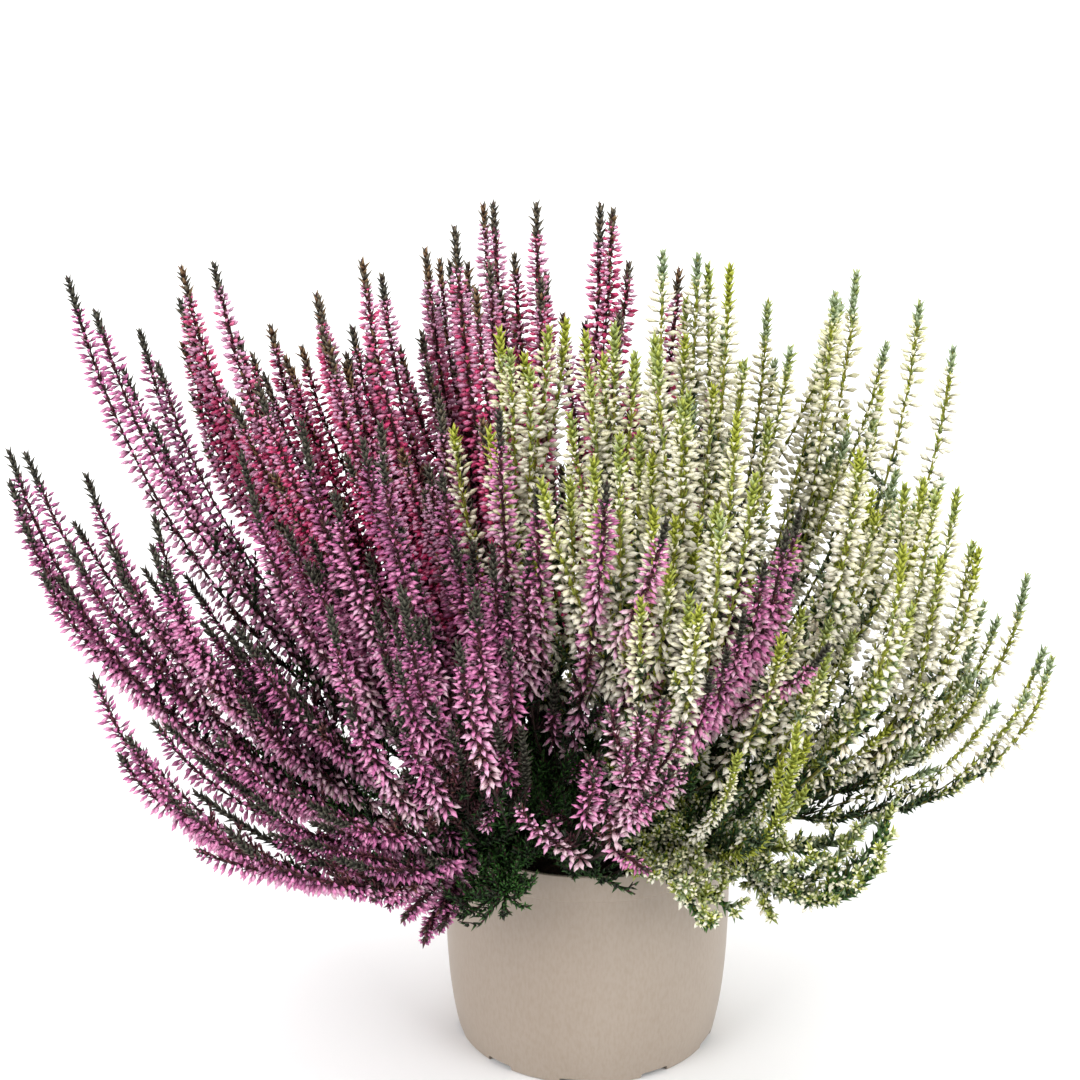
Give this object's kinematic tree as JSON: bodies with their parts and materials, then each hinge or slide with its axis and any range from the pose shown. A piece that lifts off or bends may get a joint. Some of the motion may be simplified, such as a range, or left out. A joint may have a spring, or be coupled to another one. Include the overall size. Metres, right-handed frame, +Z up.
{
  "type": "potted heather",
  "caption": "Bushy heather in a round plastic pot: upright spikes of closed mauve, crimson and white buds fanning out from low woody crowns.",
  "frame": {"origin": "centre of the pot's flat underside", "axes": "+Z up along the pot's axis, +X to the viewer's right along the plant's width, +Y away from the viewer"},
  "size_m": [0.413, 0.2769, 0.358],
  "materials": {
    "pot_plastic": "satin",
    "compost": "matte",
    "woody_stem": "matte",
    "white_stem": "matte",
    "mauve_buds": "satin",
    "crimson_buds": "satin",
    "white_buds": "satin",
    "green_leaves": "matte",
    "lime_leaves": "matte",
    "olive_leaves": "matte"
  },
  "bodies": {
    "root": {"compost": "compost", "crimson_branch_01": "crimson_buds", "crimson_branch_02": "crimson_buds", "crimson_branch_03": "crimson_buds", "crimson_branch_04": "crimson_buds", "crimson_branch_05": "crimson_buds", "crimson_branch_06": "crimson_buds", "crimson_branch_07": "crimson_buds", "crimson_branch_08": "crimson_buds", "crimson_branch_09": "crimson_buds", "crimson_branch_10": "crimson_buds", "crimson_branch_11": "crimson_buds", "crimson_branch_12": "crimson_buds", "crimson_crown": "woody_stem", "mauve_branch_01": "mauve_buds", "mauve_branch_02": "mauve_buds", "mauve_branch_03": "mauve_buds", "mauve_branch_04": "mauve_buds", "mauve_branch_05": "mauve_buds", "mauve_branch_06": "mauve_buds", "mauve_branch_07": "mauve_buds", "mauve_branch_08": "mauve_buds", "mauve_branch_09": "mauve_buds", "mauve_branch_10": "mauve_buds", "mauve_branch_11": "mauve_buds", "mauve_branch_12": "mauve_buds", "mauve_branch_13": "mauve_buds", "mauve_branch_14": "mauve_buds", "mauve_branch_15": "mauve_buds", "mauve_branch_16": "mauve_buds", "mauve_branch_17": "mauve_buds", "mauve_branch_18": "mauve_buds", "mauve_branch_19": "mauve_buds", "mauve_crown": "woody_stem", "mauve_shoot_01": "green_leaves", "pot": "pot_plastic", "white_branch_01": "white_buds", "white_branch_02": "white_buds", "white_branch_03": "white_buds", "white_branch_04": "white_buds", "white_branch_05": "white_buds", "white_branch_06": "white_buds", "white_branch_07": "white_buds", "white_branch_08": "white_buds", "white_branch_09": "white_buds", "white_branch_10": "white_buds", "white_branch_11": "white_buds", "white_branch_12": "white_buds", "white_branch_13": "white_buds", "white_branch_14": "white_buds", "white_branch_15": "white_buds", "white_branch_16": "white_buds", "white_branch_17": "white_buds", "white_branch_18": "white_buds", "white_branch_19": "white_buds", "white_branch_20": "white_buds", "white_crown": "woody_stem", "white_shoot_01": "green_leaves", "white_shoot_02": "green_leaves", "white_shoot_03": "green_leaves"}
  },
  "joints": []
}
